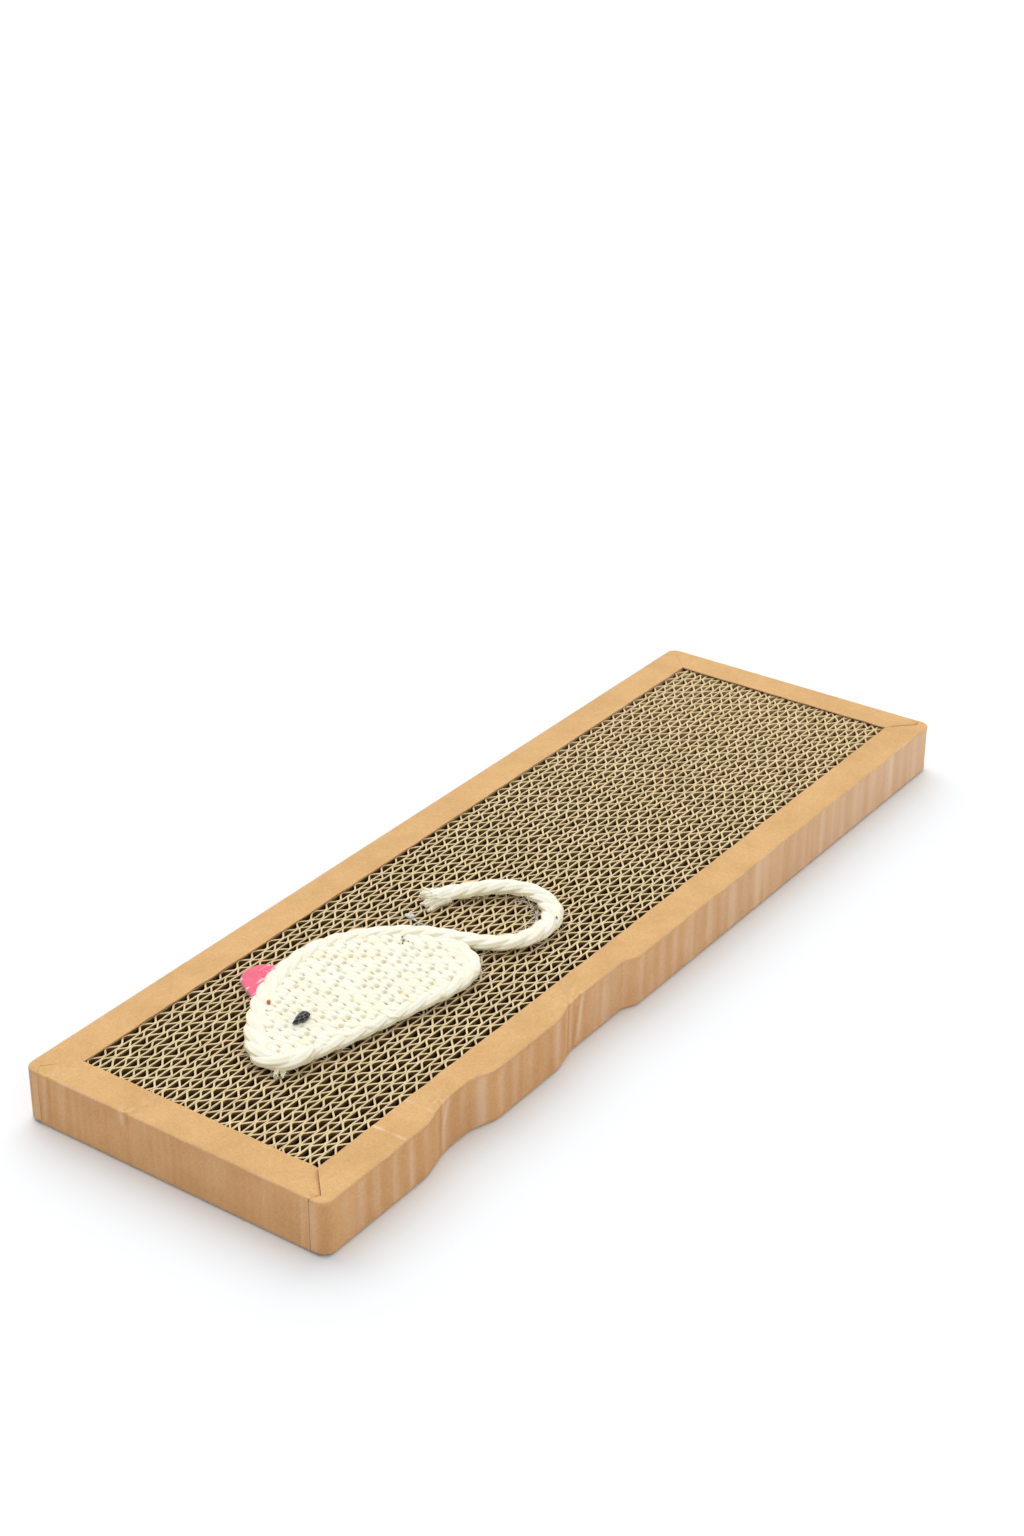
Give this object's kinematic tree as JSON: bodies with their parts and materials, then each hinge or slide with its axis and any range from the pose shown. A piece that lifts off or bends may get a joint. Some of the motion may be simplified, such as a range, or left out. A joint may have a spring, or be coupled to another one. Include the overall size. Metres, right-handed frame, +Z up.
{
  "type": "cat scratch board",
  "caption": "Flat cat scratch board of corrugated cardboard strips set on edge in a kraft paper frame, with a crocheted cord mouse glued on top.",
  "frame": {"origin": "middle of the underside, on the surface that the board lies on", "axes": "+X along the board, from the end that the mouse looks to towards the bare end; +Y across it, to the side that the ear points to; +Z up"},
  "size_m": [0.38, 0.121, 0.0269],
  "materials": {
    "kraft_paper": "matt brown kraft paper with a faint washboard from the board behind it",
    "corrugated_board": "cut end grain of double-wall board, pale paper edges and dark cells",
    "natural_cord": "cream natural cord, crocheted and twisted, slightly hairy",
    "pink_felt": "thin pink felt with pale scuffs",
    "dark_bead": "dark grey-black drop bead with dull facets",
    "hot_glue": "set hot-melt glue, milky and half clear"
  },
  "bodies": {
    "root": {"left_side_wrap": "kraft_paper", "right_side_wrap": "kraft_paper", "near_end_wrap": "kraft_paper", "far_end_wrap": "kraft_paper", "base_sheet": "kraft_paper", "strip_01": "corrugated_board", "strip_02": "corrugated_board", "strip_03": "corrugated_board", "strip_04": "corrugated_board", "strip_05": "corrugated_board", "strip_06": "corrugated_board", "strip_07": "corrugated_board", "strip_08": "corrugated_board", "strip_09": "corrugated_board", "strip_10": "corrugated_board", "strip_11": "corrugated_board", "strip_12": "corrugated_board", "strip_13": "corrugated_board", "strip_14": "corrugated_board", "strip_15": "corrugated_board", "strip_16": "corrugated_board", "strip_17": "corrugated_board", "strip_18": "corrugated_board", "strip_19": "corrugated_board", "strip_20": "corrugated_board", "mouse_body": "natural_cord", "mouse_tail_rope": "natural_cord", "mouse_ear": "pink_felt", "mouse_eye": "dark_bead", "glue_bead": "hot_glue"}
  },
  "joints": []
}
